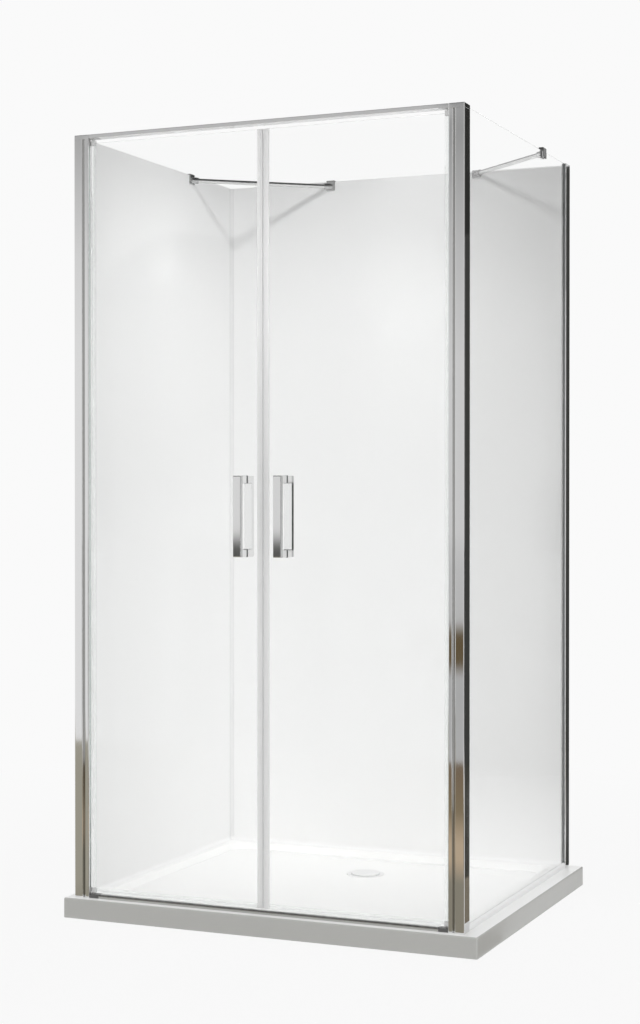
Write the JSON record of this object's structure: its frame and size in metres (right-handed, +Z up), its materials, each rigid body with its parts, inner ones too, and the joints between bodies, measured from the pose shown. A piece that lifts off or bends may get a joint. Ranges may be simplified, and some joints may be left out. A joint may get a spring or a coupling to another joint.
{
  "type": "shower enclosure",
  "caption": "Shower enclosure on a low tray: solid left and back panels, clear side glass, saloon glass doors that swing in and out, square bar handles and round corner braces.",
  "frame": {"origin": "centre of the tray's underside, on the floor", "axes": "+X to the right as seen by someone facing the doors, +Y from the doors to the back panel, +Z up"},
  "size_m": [1.1, 0.915, 1.98],
  "materials": {
    "tray_white": "white gel coat over cast resin",
    "panel_white": "smooth white wall panel",
    "trim_white": "white coved trim",
    "clear_glass": "clear toughened glass",
    "frame_chrome": "bright anodised profile",
    "bar_chrome": "polished chrome",
    "cover_chrome": "satin chrome",
    "clear_seal": "translucent seal strip",
    "magnet_grey": "flexible magnet strip",
    "gasket_grey": "soft grey gasket",
    "pivot_plastic": "dark moulded pivot parts",
    "screw_steel": "stainless steel",
    "waste_plastic": "moulded waste body"
  },
  "bodies": {
    "enclosure": {"shower_tray": "tray_white", "waste_body": "waste_plastic", "waste_strainer": "screw_steel", "left_panel": "panel_white", "back_panel": "panel_white", "rear_corner_trim": "trim_white", "left_base_trim": "trim_white", "back_base_trim": "trim_white", "left_panel_gasket": "gasket_grey", "side_glass": "clear_glass", "side_front_gasket": "gasket_grey", "side_rear_gasket": "gasket_grey", "wall_channel": "frame_chrome", "channel_screws": "screw_steel", "side_sill_channel": "clear_seal", "left_post": "frame_chrome", "right_post": "frame_chrome", "left_jamb": "frame_chrome", "right_jamb": "frame_chrome", "left_corner_cap": "frame_chrome", "right_corner_cap": "frame_chrome", "fixing_screws": "screw_steel", "header_rail": "frame_chrome", "threshold_bar": "frame_chrome", "top_pivot_blocks": "pivot_plastic", "bottom_pivot_blocks": "pivot_plastic", "left_brace_bar": "bar_chrome", "right_brace_bar": "bar_chrome", "left_wall_clamp": "bar_chrome", "right_wall_clamp": "bar_chrome", "left_back_clamp": "bar_chrome", "right_back_clamp": "bar_chrome", "clamp_set_screws": "screw_steel"},
    "left_door": {"left_hinge_strip": "clear_seal", "left_pivot_shoes": "pivot_plastic", "left_pivot_pins": "screw_steel", "left_door_glass": "clear_glass", "left_meeting_seal": "clear_seal", "left_meeting_magnet": "magnet_grey", "left_bottom_seal": "clear_seal", "left_outer_handle": "bar_chrome", "left_inner_handle": "bar_chrome", "left_handle_pads": "gasket_grey", "left_handle_bolts": "screw_steel"},
    "right_door": {"right_hinge_strip": "clear_seal", "right_pivot_shoes": "pivot_plastic", "right_pivot_pins": "screw_steel", "right_door_glass": "clear_glass", "right_meeting_seal": "clear_seal", "right_meeting_magnet": "magnet_grey", "right_bottom_seal": "clear_seal", "right_outer_handle": "bar_chrome", "right_inner_handle": "bar_chrome", "right_handle_pads": "gasket_grey", "right_handle_bolts": "screw_steel"},
    "drain_cover": {"drain_cover": "cover_chrome"}
  },
  "joints": [
    {"name": "left_door_hinge", "type": "hinge", "parent": "enclosure", "child": "left_door", "pos_m": [-0.4815, -0.4205, 1], "axis": [0, 0, 1], "range_deg": [-90, 85]},
    {"name": "right_door_hinge", "type": "hinge", "parent": "enclosure", "child": "right_door", "pos_m": [0.4655, -0.4205, 1], "axis": [0, 0, -1], "range_deg": [-90, 85]},
    {"name": "drain_cover_lift", "type": "slide", "parent": "enclosure", "child": "drain_cover", "axis": [0, 0, 1], "range_m": [0, 0.06]}
  ]
}
